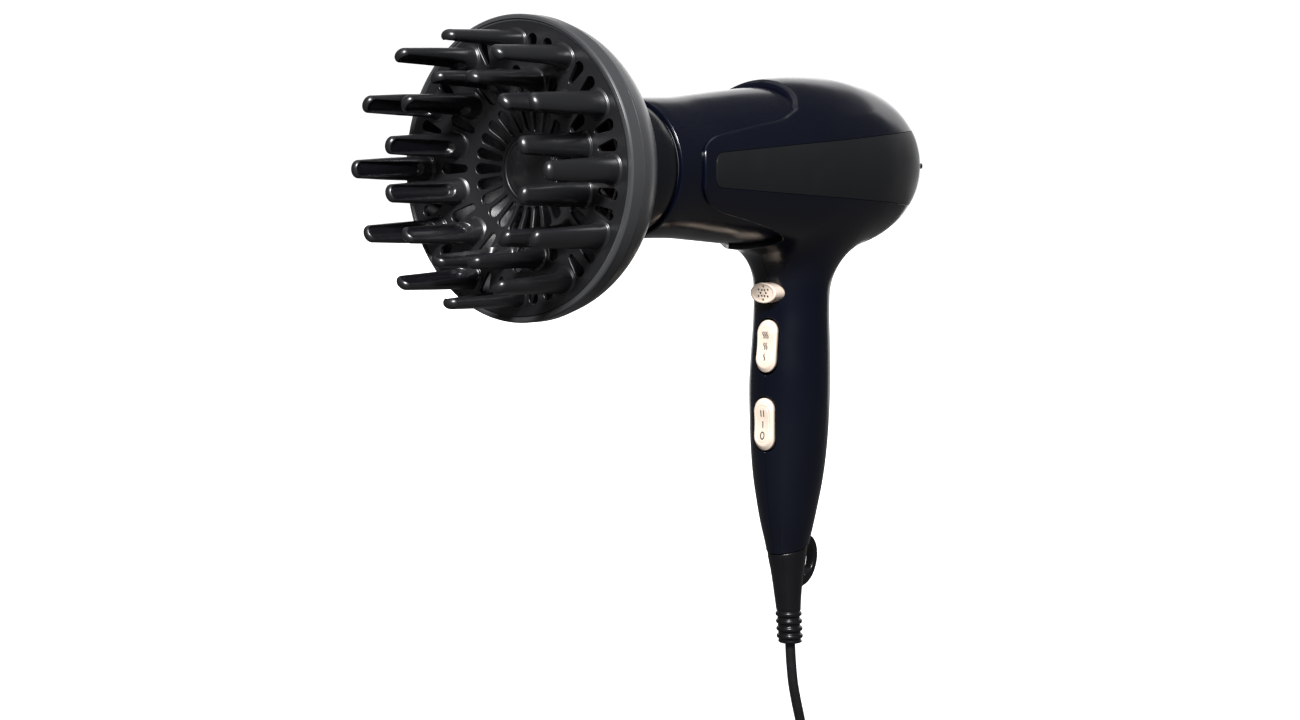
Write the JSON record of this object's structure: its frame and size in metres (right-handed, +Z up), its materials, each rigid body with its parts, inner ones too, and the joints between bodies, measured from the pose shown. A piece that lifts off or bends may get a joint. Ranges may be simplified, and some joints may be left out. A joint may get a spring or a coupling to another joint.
{
  "type": "hair dryer with finger diffuser",
  "caption": "Gloss black pistol-grip hair dryer with a round finger diffuser, sprung cool-shot button, heat and speed rockers, hang loop and mains lead.",
  "frame": {"origin": "middle of the grip, on the handle's axis", "axes": "+Z up along the handle; the air outlet points along -X; +Y is the dryer's own left seen from behind; the housing halves meet in Y = 0"},
  "size_m": [0.3138, 0.1349, 0.37],
  "materials": {
    "gloss_black_plastic": "high gloss black",
    "matte_band_plastic": "fine matte, slightly lighter than the shell",
    "satin_grey_plastic": "satin dark grey",
    "champagne_plastic": "metallised champagne, satin",
    "soft_rubber": "matte",
    "black_cable": "satin cable jacket",
    "steel": "plain",
    "heating_wire": "dull resistance wire",
    "nickel_brass": "nickel plated",
    "heat_resistant_plastic": "satin",
    "ferrite": "dull dark grey",
    "mica": "silvery tan sheet",
    "fuse_ceramic": "matte",
    "circuit_board": "solder mask",
    "wire_brown": "insulation",
    "wire_blue": "insulation",
    "wire_white": "insulation"
  },
  "bodies": {
    "housing": {"housing_left": "gloss_black_plastic", "housing_right": "gloss_black_plastic", "front_barrel": "gloss_black_plastic", "outlet_ring": "heat_resistant_plastic", "outlet_grille": "steel", "side_band_left": "matte_band_plastic", "side_band_right": "matte_band_plastic", "handle_screw_upper": "steel", "handle_screw_lower": "steel", "fan_duct": "heat_resistant_plastic", "motor_damper": "soft_rubber", "motor_can": "steel", "motor_end_bell": "heat_resistant_plastic", "magnet_left": "ferrite", "magnet_right": "ferrite", "heater_board_upright": "mica", "heater_board_level": "mica", "heating_coil_front": "heating_wire", "heating_coil_middle": "heating_wire", "heating_coil_rear": "heating_wire", "mica_sleeve": "mica", "thermostat": "steel", "thermal_fuse": "fuse_ceramic", "heat_rocker_pin": "steel", "speed_rocker_pin": "steel", "heat_switch": "heat_resistant_plastic", "speed_switch": "heat_resistant_plastic", "cool_switch": "heat_resistant_plastic", "cool_spring": "steel", "switch_board": "circuit_board", "lead_end": "black_cable", "lead_clamp": "heat_resistant_plastic", "clamp_screw_1": "steel", "clamp_screw_2": "steel", "supply_wire_live": "wire_brown", "supply_wire_neutral": "wire_blue", "motor_wire_1": "wire_white", "motor_wire_2": "wire_white", "heater_wire": "wire_brown", "strain_relief": "soft_rubber", "cord": "black_cable", "cord_coil": "black_cable", "cord_tail": "black_cable", "cord_tie": "soft_rubber", "plug_body": "black_cable", "plug_pin_1": "nickel_brass", "plug_pin_2": "nickel_brass"},
    "cool_button": {"cool_button": "champagne_plastic"},
    "heat_rocker": {"heat_rocker": "champagne_plastic"},
    "speed_rocker": {"speed_rocker": "champagne_plastic"},
    "diffuser_collar": {"diffuser_collar": "satin_grey_plastic"},
    "diffuser": {"diffuser_plate": "satin_grey_plastic", "diffuser_bowl": "satin_grey_plastic"},
    "intake_cover": {"intake_cover": "gloss_black_plastic", "dust_screen": "steel"},
    "fan": {"impeller": "heat_resistant_plastic", "motor_shaft": "steel", "armature": "steel"}
  },
  "joints": [
    {"name": "cool_button_press", "type": "slide", "parent": "housing", "child": "cool_button", "axis": [1, 0, 0], "range_m": [0, 0.002], "stiffness_N_per_m": 400, "springref_m": -0.002, "deforming": ["cool_spring"]},
    {"name": "heat_rocker_tilt", "type": "hinge", "parent": "housing", "child": "heat_rocker", "pos_m": [-0.01469, 0, 0.019], "axis": [0, 1, 0], "range_deg": [-8, 8]},
    {"name": "speed_rocker_tilt", "type": "hinge", "parent": "housing", "child": "speed_rocker", "pos_m": [-0.01649, 0, -0.018], "axis": [0, 1, 0], "range_deg": [-8, 8]},
    {"name": "diffuser_collar_pull", "type": "slide", "parent": "housing", "child": "diffuser_collar", "axis": [-1, 0, 0], "range_m": [0, 0.06]},
    {"name": "diffuser_turn", "type": "hinge", "parent": "diffuser_collar", "child": "diffuser", "pos_m": [-0.14, 0, 0.105], "axis": [-1, 0, 0], "continuous": true},
    {"name": "intake_cover_pull", "type": "slide", "parent": "housing", "child": "intake_cover", "axis": [1, 0, 0], "range_m": [0, 0.05]},
    {"name": "fan_spin", "type": "hinge", "parent": "housing", "child": "fan", "pos_m": [0.036, 0, 0.105], "axis": [-1, 0, 0], "continuous": true}
  ]
}
